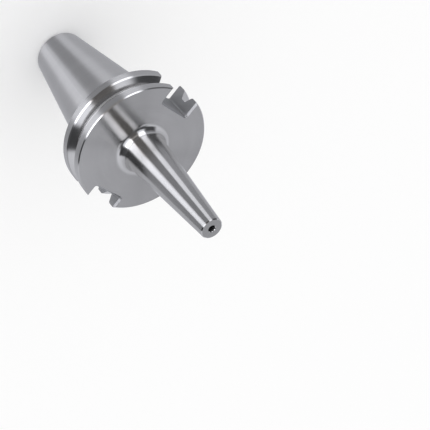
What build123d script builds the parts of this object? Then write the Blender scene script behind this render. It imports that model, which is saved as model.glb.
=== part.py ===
from build123d import *
from math import radians, tan
import os

# Shrink fit tool holder, millimetres. The origin is on the axis at the gauge line,
# +Z runs along the axis towards the nose, and the drive slots face +Y and -Y.

# Steep taper shank, 7 in 24 on diameter, from the gauge line back to the small end
gauge_diameter = 44.45
taper_on_diameter = 7 / 24
shank_length = 68.25
shank_end_chamfer = 0.9

# Neck between the ground taper and the flange, turned a little below the gauge diameter
neck_relief = 0.225
neck_length = 3.175
neck_fillet = 0.4

# V-flange that the tool changer grips
flange_diameter = 63.5
flange_thickness = 15.875
flange_rear_chamfer = 0.6
flange_front_chamfer = 0.45

# Gripper groove: a V over a short flat floor, with both lips broken by a wider cone
groove_centre_from_gauge = 11.11
groove_depth = 3.57
groove_floor_width = 2.9
groove_angle = 60
groove_edge_break = 0.45

# Two drive slots, the one towards -Y cut deeper than the one towards +Y
slot_width = 16.38
deep_slot_floor = 22.6
shallow_slot_floor = 25.0
slot_corner_radius = 1.0
slot_chamfer = 0.8

# Slim nose: a long cone blended into the front face
gauge_length = 80.0
nose_root_diameter = 20.0
nose_tip_diameter = 10.0
nose_root_fillet = 4.0
nose_tip_chamfer = 0.4

# Bore that grips the tool shank when the nose cools
tool_bore_diameter = 3.175
tool_bore_length = 20.0
tool_bore_chamfer = 0.2

# Clearance bore behind the tool shank, and the coolant bore behind that
clearance_bore_diameter = 5.0
clearance_bore_length = 20.0
coolant_bore_diameter = 8.0

# Retention knob seat in the small end: pilot bore, thread to its major diameter, tap drill
pilot_allowance = 0.385
pilot_depth = 4.8
pilot_chamfer = 0.5
thread_major_diameter = 15.875
thread_pitch = 25.4 / 11
thread_depth = 28.6
tap_drill_runout = 4.0
drill_point_angle = 118

# Heights along the axis, from the gauge line
shank_end = -shank_length
flange_rear = neck_length
flange_front = flange_rear + flange_thickness
nose_tip = gauge_length
thread_start = shank_end + pilot_depth
thread_end = thread_start + thread_depth
tap_drill_end = thread_end + tap_drill_runout
tool_bore_end = nose_tip - tool_bore_length
clearance_bore_end = tool_bore_end - clearance_bore_length

# Radii
gauge_radius = gauge_diameter / 2
shank_end_radius = gauge_radius - shank_length * taper_on_diameter / 2
neck_radius = gauge_radius - neck_relief
flange_radius = flange_diameter / 2
nose_root_radius = nose_root_diameter / 2
nose_tip_radius = nose_tip_diameter / 2
tool_bore_radius = tool_bore_diameter / 2
clearance_bore_radius = clearance_bore_diameter / 2
coolant_bore_radius = coolant_bore_diameter / 2
thread_radius = thread_major_diameter / 2
pilot_radius = (thread_major_diameter + pilot_allowance) / 2
tap_drill_radius = (thread_major_diameter - thread_pitch) / 2

# Margin by which a cutting profile passes outside the steel it removes
overcut = 2.0


def drill_point(wide_radius, narrow_radius):
    """Length of the cone that a drill point leaves between two bore radii."""
    return (wide_radius - narrow_radius) / tan(radians(drill_point_angle / 2))


turned_outline = [
    (0, shank_end),
    (shank_end_radius, shank_end),
    (gauge_radius, 0),
    (neck_radius, 0),
    (neck_radius, flange_rear),
    (flange_radius, flange_rear),
    (flange_radius, flange_front),
    (nose_root_radius, flange_front),
    (nose_tip_radius, nose_tip),
    (0, nose_tip),
]

groove_floor_radius = flange_radius - groove_depth
groove_break_radius = flange_radius - groove_edge_break
groove_cut_radius = flange_radius + overcut
groove_floor_half = groove_floor_width / 2
flank_slope = tan(radians(groove_angle / 2))
lip_slope = tan(radians(groove_angle))
groove_break_half = groove_floor_half + (groove_break_radius - groove_floor_radius) * flank_slope
groove_cut_half = groove_break_half + (groove_cut_radius - groove_break_radius) * lip_slope
groove_outline = [
    (groove_floor_radius, groove_centre_from_gauge - groove_floor_half),
    (groove_break_radius, groove_centre_from_gauge - groove_break_half),
    (groove_cut_radius, groove_centre_from_gauge - groove_cut_half),
    (groove_cut_radius, groove_centre_from_gauge + groove_cut_half),
    (groove_break_radius, groove_centre_from_gauge + groove_break_half),
    (groove_floor_radius, groove_centre_from_gauge + groove_floor_half),
]

bore_outline = [
    (0, shank_end),
    (pilot_radius + pilot_chamfer, shank_end),
    (pilot_radius, shank_end + pilot_chamfer),
    (pilot_radius, thread_start),
    (thread_radius, thread_start),
    (thread_radius, thread_end),
    (tap_drill_radius, thread_end + drill_point(thread_radius, tap_drill_radius)),
    (tap_drill_radius, tap_drill_end),
    (coolant_bore_radius, tap_drill_end + drill_point(tap_drill_radius, coolant_bore_radius)),
    (coolant_bore_radius, clearance_bore_end - drill_point(coolant_bore_radius, clearance_bore_radius)),
    (clearance_bore_radius, clearance_bore_end),
    (clearance_bore_radius, tool_bore_end - drill_point(clearance_bore_radius, tool_bore_radius)),
    (tool_bore_radius, tool_bore_end),
    (tool_bore_radius, nose_tip - tool_bore_chamfer),
    (tool_bore_radius + tool_bore_chamfer, nose_tip),
    (0, nose_tip),
]

with BuildPart() as holder_body:
    # The bar turned to its outer form in one piece, from the small end to the nose
    with BuildSketch(Plane.XZ):
        with BuildLine():
            Polyline(*turned_outline, close=True)
        make_face()
    revolve(axis=Axis.Z)

    # Gripper groove round the flange
    with BuildSketch(Plane.XZ):
        with BuildLine():
            Polyline(*groove_outline, close=True)
        make_face()
    revolve(axis=Axis.Z, mode=Mode.SUBTRACT)

    # Blends and edge breaks of the turned form, before the slots cut through them
    rims = holder_body.edges().filter_by(GeomType.CIRCLE).group_by(SortBy.RADIUS)[-1].sort_by(Axis.Z)
    chamfer(rims[0], length=flange_rear_chamfer)
    rims = holder_body.edges().filter_by(GeomType.CIRCLE).group_by(SortBy.RADIUS)[-1].sort_by(Axis.Z)
    chamfer(rims[-1], length=flange_front_chamfer)

    front_circles = holder_body.edges().filter_by(GeomType.CIRCLE).filter_by_position(
        Axis.Z, flange_front, flange_front
    )
    fillet(front_circles.sort_by(SortBy.RADIUS)[0], radius=nose_root_fillet)
    rear_circles = holder_body.edges().filter_by(GeomType.CIRCLE).filter_by_position(
        Axis.Z, flange_rear, flange_rear
    )
    fillet(rear_circles.sort_by(SortBy.RADIUS)[0], radius=neck_fillet)
    end_circles = holder_body.edges().filter_by(GeomType.CIRCLE).sort_by(Axis.Z)
    chamfer(end_circles[0], length=shank_end_chamfer)
    chamfer(end_circles[-1], length=nose_tip_chamfer)

    # Drive slots milled through the whole flange
    for side, slot_floor in ((1, shallow_slot_floor), (-1, deep_slot_floor)):
        slot_height = flange_radius + overcut - slot_floor
        with BuildSketch(Plane.XY.offset(flange_front)):
            with Locations((0, side * (slot_floor + slot_height / 2))):
                slot_shape = Rectangle(slot_width, slot_height)
            floor_corners = slot_shape.vertices().sort_by(Axis.Y)
            if side > 0:
                floor_corners = floor_corners[:2]
            else:
                floor_corners = floor_corners[-2:]
            fillet(floor_corners, radius=slot_corner_radius)
        extrude(amount=-flange_thickness, mode=Mode.SUBTRACT)

    # Edge break round the mouth of each slot, over its walls, corners and floor
    front_edges = holder_body.edges().filter_by_position(Axis.Z, flange_front, flange_front)
    slot_corners = front_edges.filter_by(GeomType.CIRCLE).filter_by(lambda edge: edge.radius < slot_width / 2)
    chamfer(front_edges.filter_by(GeomType.LINE) + slot_corners, length=slot_chamfer)

    # Bores from the small end through to the nose
    with BuildSketch(Plane.XZ):
        with BuildLine():
            Polyline(*bore_outline, close=True)
        make_face()
    revolve(axis=Axis.Z, mode=Mode.SUBTRACT)

holder_body.part.label = "holder_body"

os.makedirs("parts", exist_ok=True)
export_step(holder_body.part, "parts/holder_body.step")
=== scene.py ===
from math import asin, atan2, cos, degrees, exp, pi, radians, sin

import bmesh
import bpy
from mathutils import Matrix, Vector


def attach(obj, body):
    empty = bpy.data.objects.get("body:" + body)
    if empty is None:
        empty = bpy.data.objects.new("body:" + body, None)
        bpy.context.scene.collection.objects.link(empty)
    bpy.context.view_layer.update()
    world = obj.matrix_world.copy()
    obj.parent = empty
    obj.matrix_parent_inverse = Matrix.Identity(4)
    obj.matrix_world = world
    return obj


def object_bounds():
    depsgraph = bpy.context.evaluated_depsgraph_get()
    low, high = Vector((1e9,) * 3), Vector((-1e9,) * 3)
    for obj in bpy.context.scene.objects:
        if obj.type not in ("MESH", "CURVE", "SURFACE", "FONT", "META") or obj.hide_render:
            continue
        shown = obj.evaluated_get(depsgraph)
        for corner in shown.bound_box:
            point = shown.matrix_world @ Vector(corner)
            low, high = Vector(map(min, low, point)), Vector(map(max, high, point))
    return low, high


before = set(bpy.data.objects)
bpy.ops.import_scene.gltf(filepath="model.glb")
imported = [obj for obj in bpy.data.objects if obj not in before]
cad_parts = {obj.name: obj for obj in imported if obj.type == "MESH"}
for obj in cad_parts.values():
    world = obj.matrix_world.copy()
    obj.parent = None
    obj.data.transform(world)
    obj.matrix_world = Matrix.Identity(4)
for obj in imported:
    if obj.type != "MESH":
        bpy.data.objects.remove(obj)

cad_low, cad_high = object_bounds()
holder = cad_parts["holder_body"]
MM = 0.001

# Heights of the holder along its axis, metres from the gauge line, +Z towards the nose. The mouth of the
# tool bore counts as the nose down to TIP_BREAK under the tip.
SHANK_END = cad_low.z
FLANGE_REAR = 3.175 * MM
GROOVE_LOW = 7.0 * MM
GROOVE_HIGH = 15.2 * MM
FLANGE_FRONT = 19.05 * MM
NOSE_ROOT_TOP = 23.5 * MM
NOSE_TIP = cad_high.z
TIP_BREAK = 0.3 * MM

# Distances from the axis. The groove's flanks start GROOVE_LIP under the rim.
FLANGE_RADIUS = cad_high.x
GROOVE_LIP = 0.5 * MM
ROOT_BLEND_RADIUS = 16.0 * MM
WIDEST_BORE_RADIUS = 9.0 * MM

# Drive slots, of which the deeper one lies towards -Y
SLOT_HALF_WIDTH = 8.19 * MM
SLOT_CHAMFER = 0.85 * MM
DEEP_SLOT_FLOOR = 22.6 * MM
SHALLOW_SLOT_FLOOR = 25.0 * MM

# How near a facet's centre may come to a face and still count as beside it
SKIN = 0.01 * MM

# How a facet faces, by the part of its normal along the axis: at most WALL on a wall or floor along the
# axis, at most CONE on a cone or rim, within CHAMFER on a chamfer, and at least FLAT on a flat end
WALL = 0.1
CONE = 0.3
CHAMFER = (0.6, 0.8)
FLAT = 0.999

# The part of its normal away from the axis: below BORE in a bore, above RIM on a turned rim, and below
# MILLED on the chamfer of a slot's wall. A chamfer deeper under the rim than RIM_DEPTH is a slot's too.
BORE = -0.05
RIM = 0.98
MILLED = 0.6
RIM_DEPTH = 1.0 * MM

# Knob thread in the small end, cut with a 60 degree form. The foot of its ridge is buried in the wall of
# the bore, and the ridge rises from it and sinks into it over THREAD_RUN_OUT segments at its ends.
THREAD_PITCH = 25.4 / 11 * MM
THREAD_MAJOR_RADIUS = 7.9375 * MM
THREAD_START = SHANK_END + 4.8 * MM
THREAD_LENGTH = 28.6 * MM
THREAD_DEPTH = 0.5413 * THREAD_PITCH
THREAD_ROOT_HALF = 7 / 16 * THREAD_PITCH
THREAD_CREST_HALF = 1 / 8 * THREAD_PITCH
THREAD_BURIED = 0.05 * MM
THREAD_SEGMENTS = 72
THREAD_RUN_OUT = THREAD_SEGMENTS // 3

# Camera, in the photograph's place
CAMERA_PLACE = Vector((0.36841, -0.09535, 0.39945))
CAMERA_AIM = Vector((-0.04014, 0.00501, 0.04126))
CAMERA_ROLL = radians(138.5315)
CAMERA_LENS = 100.963
CAMERA_SENSOR = 36.0
CAMERA_CLIP = (0.01, 50.0)

# Floor, in metres and as a share of white
FLOOR_HALF = 6.0
FLOOR_WHITE = 0.985
FLOOR_ROUGHNESS = 0.9

# Light tent round the holder, which only its gloss shows, and the tint of its light. Turns, tilts, climbs
# and widths on it are in degrees.
TENT_CENTRE = Vector((0, 0, FLANGE_FRONT))
TENT_RADIUS = 1.5
TENT_COLUMNS = 240
TENT_ROWS = 120
TENT_TINT = Vector((0.983, 1.0, 1.072))
TO_CAMERA = (CAMERA_PLACE - TENT_CENTRE).normalized()
CAMERA_HEADING = degrees(atan2(TO_CAMERA.y, TO_CAMERA.x))

# Its wall where no panel hangs: brighter upwards, and at a level of its own round the direction that the
# flange's front face mirrors to the camera
SIDE_LEVEL = 0.56
SIDE_CLIMB = 0.41
FACE_LEVEL = 0.42
FACE_WIDTH = 20
FACE_TURN = 4
FACE_MIRROR = Matrix.Rotation(radians(FACE_TURN), 3, "Z") @ Vector((-TO_CAMERA.x, -TO_CAMERA.y, TO_CAMERA.z))

# One soft strip on each side behind the holder, for its form in views from there
REAR_STRIP_TURN = 160
REAR_STRIP_CLIMB = -18
REAR_STRIP_WIDTH = 9
REAR_STRIP_HEIGHT = 15
REAR_STRIP_LEVEL = 0.7

# Warmer tint in the dark gap between the bright strips: left, right, low, high, side fade, top fade
GAP = (-15.5, 7, 23, 66, 4, 4)
GAP_TINT = Vector((1.045, 1.0, 0.995))

# Panels of the tent. Each lies where steel at a turn from left to right round the axis, counted from
# the camera's side, and with its outward normal tilted from low to high above the horizon mirrors it to
# the camera. Its light runs from one level at one tilt to another at the next. Its sides fade over the
# last width but one, its top over the last, and its foot over LOW_FADE. A panel covers those before it.
LOW_FADE = 3
PANELS = [
    # left, right, low, high, (tilt, level), (tilt, level), side fade, top fade

    # Left wall, left strip, gap, right strip and right wall, for the taper, the rims and the nose
    (-80, -33, -20, 9.5, (-9, 0.53), (5, 0.43), 12, 4),
    (-30.5, -16, -20, 2.5, (-3, 0.66), (2, 0.88), 5, 4),
    (-32, -16, 2.5, 10, (2, 0.88), (6, 1.72), 6, 4),
    (-15.5, 6, -20, 9.5, (-9, 0.33), (5, 0.31), 4, 4),
    (8, 27, -20, 2.5, (-1, 0.83), (2, 0.94), 4, 4),
    (6.5, 28.5, 2.5, 10, (2, 0.94), (6, 2.2), 5, 4),
    (29, 50, -20, 9.5, (-9, 0.53), (5, 0.27), 16, 4),
    (33, 54, 3, 9.5, (3, 0.34), (7, 0.56), 8, 4),

    # Dark band above them, for the top of the root blend
    (-58, 52, 10, 23, (7, 0.20), (17, 0.23), 6, 3),
    (7.5, 28, 10, 23, (7, 0.34), (17, 0.40), 4, 3),
    (31, 54, 10, 24, (14, 0.07), (20, 0.26), 6, 3),

    # Dark walls, ceiling and gap, for the root blend, the chamfers and the groove
    (-62, -33, 23, 38, (28, 0.54), (36, 0.26), 10, 4),
    (-62, -33, 38, 69, (39, 0.28), (46, 0.08), 10, 8),
    (29, 53, 23, 66, (36, 0.09), (48, 0.06), 5, 8),
    (-41, 38, 60, 78, (60, 0.05), (72, 0.12), 12, 6),
    (-15.5, 7, 23, 37, (25, 0.12), (35, 0.15), 4, 4),
    (-16, 7, 37, 66, (41, 0.38), (47, 0.13), 4, 4),

    # Bright left strip and bright right strip beside that gap
    (-32.5, -15.5, 23, 38, (30, 1.9), (38, 2.7), 4, 4),
    (-30, -17, 38, 52, (40, 2.7), (52, 1.1), 4, 6),
    (-26, -20, 52, 61, (52, 1.1), (60, 0.90), 4, 8),
    (6.5, 27.5, 23, 52, (40, 3.2), (52, 1.4), 4, 6),
    (8.5, 27, 52, 64, (52, 1.4), (60, 1.00), 4, 8),
]

# Bare steel. Its tone varies by TONE_SPREAD to each side, in fine lines and broad bands round the axis.
# LINE_ROUND and BAND_ROUND say how far their noise moves on over a radian round it.
STEEL = (0.622, 0.615, 0.605)
# Darker copies of the same steel, as painted shade: in the slots, on the slots' chamfers and in the bore
SLOT_SHADE_STEEL = (0.41, 0.41, 0.41)
EDGE_SHADE_STEEL = (0.40, 0.40, 0.40)
BORE_SHADE_STEEL = (0.30, 0.30, 0.30)
TONE_SPREAD = 0.035
LINE_PITCH = 0.35 * MM
LINE_ROUND = 0.6 * MM
LINE_DETAIL = 3.0
BAND_PITCH = 6.25 * MM
BAND_ROUND = 3.0 * MM
BAND_DETAIL = 2.0

# Where both noises added up mostly lie
TONE_NOISE = (0.7, 1.3)

# Share of a turn from the tangent round the axis to the way that the gloss is drawn out
ACROSS_LINES = 0.25

# Finishes: colour, roughness, how far the gloss is drawn out across the tool lines, height of the lines,
# and the share by which the roughness wanders over the surface
FINISHES = {
    "ground_taper": (STEEL, 0.30, 0.55, 0.0010 * MM, 0.06),
    "ground_rim": (STEEL, 0.22, 0.60, 0.0010 * MM, 0.06),
    "turned_face": (STEEL, 0.22, 1.0, 0.0, 0.02),
    "polished_nose": (STEEL, 0.13, 0.50, 0.0004 * MM, 0.06),
    "turned_nose": (STEEL, 0.185, 1.0, 0.0, 0.02),
    "turned_groove": (STEEL, 0.14, 0.40, 0.0010 * MM, 0.06),
    "groove_floor": (STEEL, 0.50, 0.0, 0.0020 * MM, 0.06),
    # The slots, their chamfers and the bore take the darker steels: painted shade
    "milled_slot": (SLOT_SHADE_STEEL, 0.65, 0.0, 0.0030 * MM, 0.2),
    "milled_edge": (EDGE_SHADE_STEEL, 0.42, 0.0, 0.0020 * MM, 0.2),
    "drilled_bore": (BORE_SHADE_STEEL, 0.40, 0.3, 0.0030 * MM, 0.06),
}


def shader(name, kind="ShaderNodeBsdfPrincipled"):
    """A new material with one shader on its output: (material, nodes, links, shader)."""
    material = bpy.data.materials.new(name)
    material.use_nodes = True
    nodes, links = material.node_tree.nodes, material.node_tree.links
    nodes.clear()
    output = nodes.new("ShaderNodeOutputMaterial")
    main = nodes.new(kind)
    links.new(main.outputs[0], output.inputs["Surface"])
    return material, nodes, links, main


def wire(links, node, *values):
    """Sets a node's first inputs in order, from sockets or plain values, and gives its first output."""
    for socket, value in zip(node.inputs, values):
        if isinstance(value, bpy.types.NodeSocket):
            links.new(value, socket)
        else:
            socket.default_value = value
    return node.outputs[0]


def arithmetic(nodes, links, operation, *values):
    node = nodes.new("ShaderNodeMath")
    node.operation = operation
    return wire(links, node, *values)


def spread(nodes, links, value, low, high, value_low=0.3, value_high=0.7):
    """Maps a noise value, which mostly stays between value_low and value_high, to low and high."""
    node = nodes.new("ShaderNodeMapRange")
    return wire(links, node, value, value_low, value_high, low, high)


def noise(nodes, links, vector, scale, detail):
    node = nodes.new("ShaderNodeTexNoise")
    node.inputs["Scale"].default_value = scale
    node.inputs["Detail"].default_value = detail
    links.new(vector, node.inputs["Vector"])
    return node.outputs[0]


def lathe_vector(nodes, links, round_share):
    """Coordinates that run fast along the turned profile and slowly round the axis, in metres."""
    place = nodes.new("ShaderNodeTexCoord").outputs["Object"]
    split = nodes.new("ShaderNodeSeparateXYZ")
    wire(links, split, place)
    x, y, z = split.outputs[:3]
    flat = wire(links, nodes.new("ShaderNodeCombineXYZ"), x, y, 0.0)

    length = nodes.new("ShaderNodeVectorMath")
    length.operation = "LENGTH"
    wire(links, length, flat)
    along = arithmetic(nodes, links, "SUBTRACT", length.outputs["Value"], z)

    outward = nodes.new("ShaderNodeVectorMath")
    outward.operation = "NORMALIZE"
    wire(links, outward, flat)
    slowed = nodes.new("ShaderNodeVectorMath")
    slowed.operation = "SCALE"
    wire(links, slowed, outward.outputs[0])
    slowed.inputs["Scale"].default_value = round_share
    sides = nodes.new("ShaderNodeSeparateXYZ")
    wire(links, sides, slowed.outputs[0])
    return wire(links, nodes.new("ShaderNodeCombineXYZ"), along, sides.outputs[0], sides.outputs[1])


def steel(name, colour, roughness, stretch, line_depth, patch):
    """Bare machined steel with tool lines round the axis."""
    material, nodes, links, main = shader(name)
    main.inputs["Metallic"].default_value = 1.0
    main.inputs["Anisotropic"].default_value = stretch
    main.inputs["Anisotropic Rotation"].default_value = ACROSS_LINES
    around = nodes.new("ShaderNodeTangent")
    around.direction_type = "RADIAL"
    around.axis = "Z"
    links.new(around.outputs[0], main.inputs["Tangent"])

    lines = noise(nodes, links, lathe_vector(nodes, links, LINE_ROUND), 1 / LINE_PITCH, LINE_DETAIL)
    bands = noise(nodes, links, lathe_vector(nodes, links, BAND_ROUND), 1 / BAND_PITCH, BAND_DETAIL)
    both = arithmetic(nodes, links, "ADD", lines, bands)
    tone = nodes.new("ShaderNodeMix")
    tone.data_type = "RGBA"
    links.new(spread(nodes, links, both, 0.0, 1.0, *TONE_NOISE), tone.inputs["Factor"])
    tone.inputs["A"].default_value = (*[(1 - TONE_SPREAD) * part for part in colour], 1.0)
    tone.inputs["B"].default_value = (*[(1 + TONE_SPREAD) * part for part in colour], 1.0)
    links.new(tone.outputs["Result"], main.inputs["Base Color"])

    uneven = spread(nodes, links, bands, roughness * (1 - patch), roughness * (1 + patch))
    links.new(uneven, main.inputs["Roughness"])
    bump = nodes.new("ShaderNodeBump")
    bump.inputs["Distance"].default_value = line_depth
    links.new(lines, bump.inputs["Height"])
    links.new(bump.outputs[0], main.inputs["Normal"])
    return material


def slot_finish(centre, normal, radius, outward):
    """Name of the finish on a facet that was milled with a drive slot, or None elsewhere. Both slot finishes
    have a darker steel, which is painted shade.
    """
    floor_radius = DEEP_SLOT_FLOOR if centre.y < 0 else SHALLOW_SLOT_FLOOR
    in_flange = FLANGE_REAR + SKIN < centre.z < FLANGE_FRONT - SKIN
    in_width = abs(centre.x) < SLOT_HALF_WIDTH + SLOT_CHAMFER
    if not (in_flange and in_width and abs(centre.y) > floor_radius - SLOT_CHAMFER):
        return None
    turned = abs(outward) > RIM and abs(centre.x) > SLOT_HALF_WIDTH
    if abs(normal.z) < WALL and radius < FLANGE_RADIUS - SKIN and not turned:
        return "milled_slot"
    steepest, flattest = CHAMFER
    on_slot_edge = abs(outward) < MILLED or radius < FLANGE_RADIUS - RIM_DEPTH
    return "milled_edge" if steepest < normal.z < flattest and on_slot_edge else None


def finish_of(centre, normal):
    """Name of the finish on a facet of the holder, by its place and the way it faces."""
    radius = centre.xy.length
    outward = centre.xy.dot(normal.xy) / radius
    if outward < BORE and radius < WIDEST_BORE_RADIUS:
        return "polished_nose" if centre.z > NOSE_TIP - TIP_BREAK else "drilled_bore"
    milled = slot_finish(centre, normal, radius, outward)
    if milled:
        return milled
    if centre.z < FLANGE_REAR:
        return "ground_taper"
    steep = abs(normal.z) < CONE
    if centre.z > NOSE_ROOT_TOP:
        return "turned_nose" if steep else "polished_nose"
    if radius < ROOT_BLEND_RADIUS and abs(normal.z) < FLAT:
        return "polished_nose"
    if centre.z > FLANGE_FRONT - SKIN:
        return "turned_face"
    if radius < FLANGE_RADIUS - GROOVE_LIP and GROOVE_LOW < centre.z < GROOVE_HIGH:
        return "groove_floor" if abs(normal.z) < WALL else "turned_groove"
    return "ground_rim" if steep else "turned_groove"


def dress_holder():
    names = sorted(finishes)
    mesh = holder.data
    mesh.materials.clear()
    for name in names:
        mesh.materials.append(finishes[name])
    for facet in mesh.polygons:
        facet.material_index = names.index(finish_of(facet.center, facet.normal))


def new_object(name, data):
    """A new object with this mesh or camera, in the scene."""
    piece = bpy.data.objects.new(name, data)
    bpy.context.scene.collection.objects.link(piece)
    return piece


def knob_thread():
    """The inside thread for the retention knob, as one ridge wound up the wall of its bore."""
    steps = round((THREAD_LENGTH / THREAD_PITCH - 1) * THREAD_SEGMENTS)
    foot = THREAD_MAJOR_RADIUS + THREAD_BURIED
    mesh = bmesh.new()
    rings = []
    for step in range(steps + 1):
        angle = 2 * pi * step / THREAD_SEGMENTS
        height = THREAD_START + THREAD_PITCH * (step / THREAD_SEGMENTS + 0.5)
        share = min(1.0, (step + 1) / THREAD_RUN_OUT, (steps + 1 - step) / THREAD_RUN_OUT)
        crest = THREAD_MAJOR_RADIUS - THREAD_DEPTH * share
        outline = (
            (foot, -THREAD_ROOT_HALF),
            (crest, -THREAD_CREST_HALF),
            (crest, THREAD_CREST_HALF),
            (foot, THREAD_ROOT_HALF),
        )
        rings.append([
            mesh.verts.new((radius * cos(angle), radius * sin(angle), height + above))
            for radius, above in outline
        ])
    for one, two in zip(rings, rings[1:]):
        for side in range(4):
            after = (side + 1) % 4
            mesh.faces.new((one[side], one[after], two[after], two[side]))
    mesh.faces.new(reversed(rings[0]))
    mesh.faces.new(rings[-1])
    bmesh.ops.recalc_face_normals(mesh, faces=mesh.faces)
    data = bpy.data.meshes.new("knob_thread")
    mesh.to_mesh(data)
    mesh.free()
    # The thread takes the bore's darker steel, which is painted shade
    data.materials.append(finishes["drilled_bore"])
    piece = new_object("knob_thread", data)
    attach(piece, "root")


def turn_of(direction):
    """Degrees round the axis from the camera's side, -180 to 180."""
    return (degrees(atan2(direction.y, direction.x)) - CAMERA_HEADING + 180) % 360 - 180


def climb_of(direction):
    """Degrees above the horizon."""
    return degrees(asin(direction.z))


def bell(distance, width):
    """Falls smoothly from 1 at distance 0 to about a third at width, and on to 0."""
    return exp(-((distance / width) ** 2))


def rise(value, start, end):
    """Goes smoothly from 0 at start to 1 at end."""
    share = min(1.0, max(0.0, (value - start) / (end - start)))
    return share * share * (3 - 2 * share)


def within(value, low, high, low_fade, high_fade):
    """1 between low and high and 0 outside, with soft ends."""
    start = rise(value, low - low_fade / 2, low + low_fade / 2)
    return start * (1 - rise(value, high - high_fade / 2, high + high_fade / 2))


def covered(turn, tilt, left, right, low, high, side_fade, top_fade):
    """Share to which a panel with these edges covers a turn and tilt."""
    return within(turn, left, right, side_fade, side_fade) * within(tilt, low, high, LOW_FADE, top_fade)


def tent_light(direction):
    """Colour of the tent's light in a direction from its centre."""
    light = SIDE_LEVEL + SIDE_CLIMB * max(0.0, direction.z)
    light += (FACE_LEVEL - light) * bell(degrees(direction.angle(FACE_MIRROR)), FACE_WIDTH)
    beside_strip = abs(turn_of(direction)) - REAR_STRIP_TURN
    above_strip = climb_of(direction) - REAR_STRIP_CLIMB
    strip = bell(beside_strip, REAR_STRIP_WIDTH) * bell(above_strip, REAR_STRIP_HEIGHT)
    light += REAR_STRIP_LEVEL * strip

    normal = (direction + TO_CAMERA).normalized()
    turn, tilt = turn_of(normal), climb_of(normal)
    for left, right, low, high, (tilt_one, one), (tilt_two, two), side_fade, top_fade in PANELS:
        along = min(1.0, max(0.0, (tilt - tilt_one) / (tilt_two - tilt_one)))
        level = one + (two - one) * along
        light += (level - light) * covered(turn, tilt, left, right, low, high, side_fade, top_fade)
    tint = TENT_TINT.lerp(GAP_TINT, covered(turn, tilt, *GAP))
    return (*[light * part for part in tint], 1.0)


def tent():
    """The light tent: a large ball that glows in each direction as tent_light says."""
    directions = []
    for row in range(TENT_ROWS + 1):
        height = pi * row / TENT_ROWS - pi / 2
        for column in range(TENT_COLUMNS):
            heading = 2 * pi * (column + 0.5) / TENT_COLUMNS
            directions.append(Vector((cos(height) * cos(heading), cos(height) * sin(heading), sin(height))))
    faces = []
    for row in range(TENT_ROWS):
        for column in range(TENT_COLUMNS):
            after = (column + 1) % TENT_COLUMNS
            low, high = row * TENT_COLUMNS, (row + 1) * TENT_COLUMNS
            faces.append((low + column, low + after, high + after, high + column))
    data = bpy.data.meshes.new("light_tent")
    data.from_pydata([TENT_CENTRE + TENT_RADIUS * direction for direction in directions], [], faces)
    glow = data.attributes.new("glow", "FLOAT_COLOR", "POINT")
    glow.data.foreach_set("color", [part for direction in directions for part in tent_light(direction)])
    material, nodes, links, light = shader("light_tent", "ShaderNodeEmission")
    colour = nodes.new("ShaderNodeAttribute")
    colour.attribute_name = "glow"
    links.new(colour.outputs["Color"], light.inputs["Color"])
    data.materials.append(material)
    piece = new_object("light_tent", data)
    piece.visible_camera = False
    piece.visible_diffuse = False
    piece.visible_shadow = False


def room():
    """The white room, which lights the floor and shows behind it."""
    world = bpy.data.worlds.new("room")
    world.use_nodes = True
    world.node_tree.nodes["Background"].inputs["Color"].default_value = (1.0, 1.0, 1.0, 1.0)
    bpy.context.scene.world = world
    world.cycles_visibility.glossy = False


def floor():
    """A plain pale floor at the height that the holder stands on."""
    data = bpy.data.meshes.new("floor")
    corners = [(-1, -1), (1, -1), (1, 1), (-1, 1)]
    data.from_pydata([(FLOOR_HALF * x, FLOOR_HALF * y, SHANK_END) for x, y in corners], [], [(0, 1, 2, 3)])
    material, nodes, links, main = shader("floor")
    main.inputs["Base Color"].default_value = (FLOOR_WHITE, FLOOR_WHITE, FLOOR_WHITE, 1.0)
    main.inputs["Roughness"].default_value = FLOOR_ROUGHNESS
    main.inputs["Specular IOR Level"].default_value = 0.0
    data.materials.append(material)
    piece = new_object("floor", data)
    piece.visible_glossy = False
    piece.visible_shadow = False


def camera():
    data = bpy.data.cameras.new("camera")
    data.sensor_width = CAMERA_SENSOR
    data.lens = CAMERA_LENS
    data.clip_start, data.clip_end = CAMERA_CLIP
    piece = new_object("camera", data)
    look = (CAMERA_AIM - CAMERA_PLACE).to_track_quat("-Z", "Y").to_matrix()
    roll = Matrix.Rotation(CAMERA_ROLL, 3, "Z")
    piece.matrix_world = Matrix.LocRotScale(CAMERA_PLACE, look @ roll, None)
    bpy.context.scene.camera = piece


finishes = {name: steel(name, *values) for name, values in FINISHES.items()}
dress_holder()
knob_thread()
tent()
room()
floor()
camera()
bpy.context.scene.view_settings.view_transform = "Standard"
